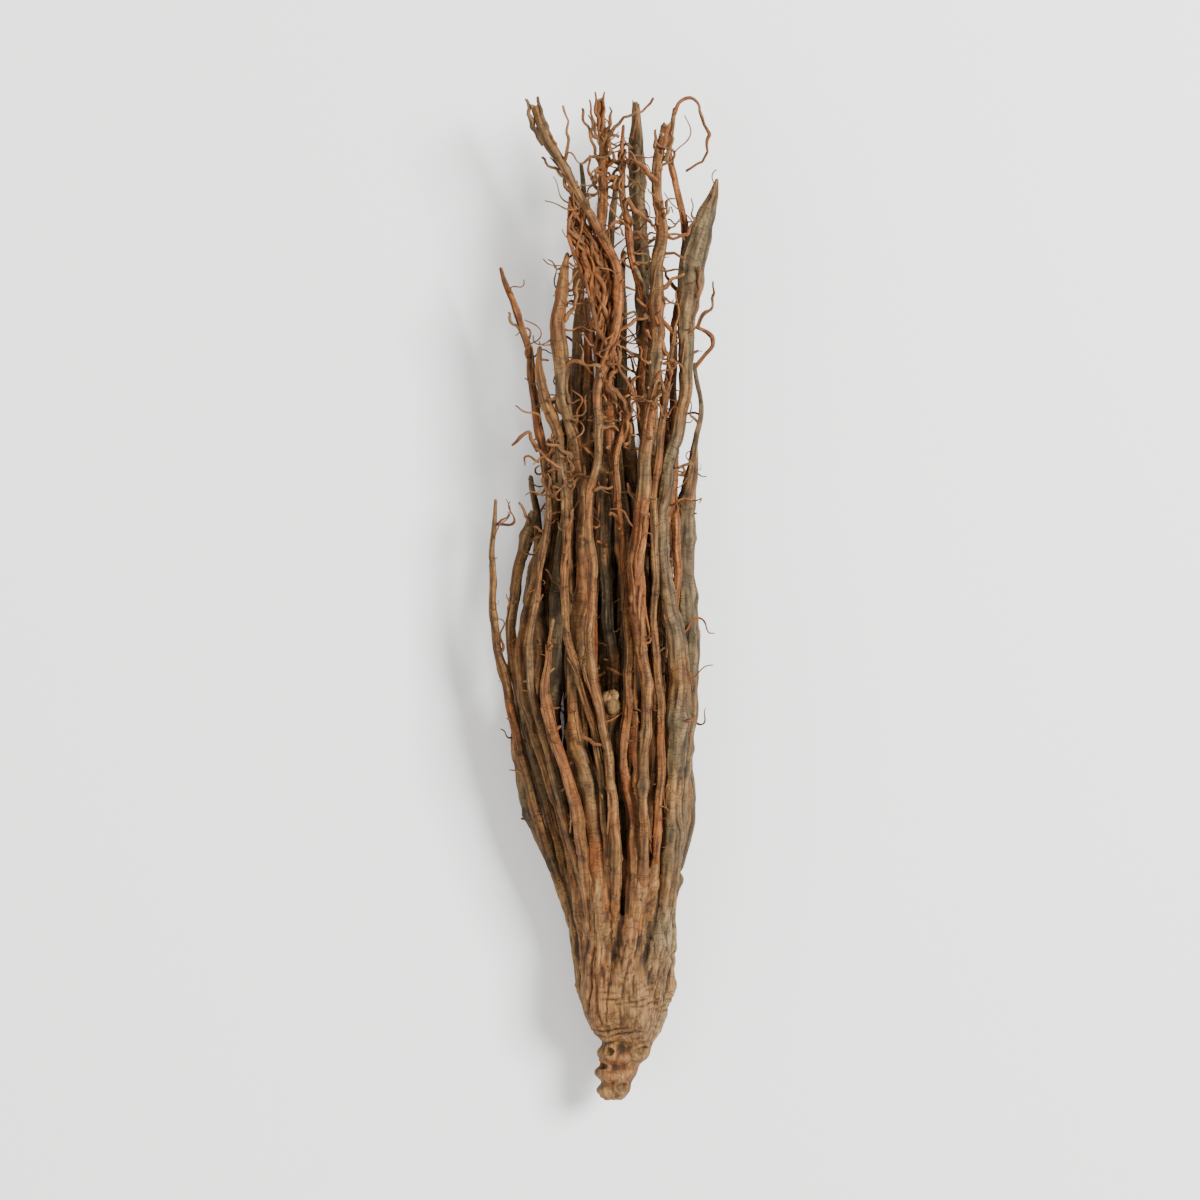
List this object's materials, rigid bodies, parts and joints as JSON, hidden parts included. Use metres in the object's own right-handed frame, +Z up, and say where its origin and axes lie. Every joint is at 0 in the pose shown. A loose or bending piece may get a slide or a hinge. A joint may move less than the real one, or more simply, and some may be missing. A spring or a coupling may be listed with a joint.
{
  "type": "ginseng root",
  "caption": "Dried ginseng root lying on its side, with a knotty crown, a short ringed body and a long sheaf of thin leg roots with fine curled rootlets.",
  "frame": {"origin": "centre of the root's bounding box, on the surface it lies on", "axes": "+Y along the root from its crown to the tips of its legs, +Z up"},
  "size_m": [0.0361, 0.1611, 0.0211],
  "materials": {
    "root_bark": "matte"
  },
  "bodies": {
    "root": {"ginseng_root": "root_bark"}
  },
  "joints": []
}
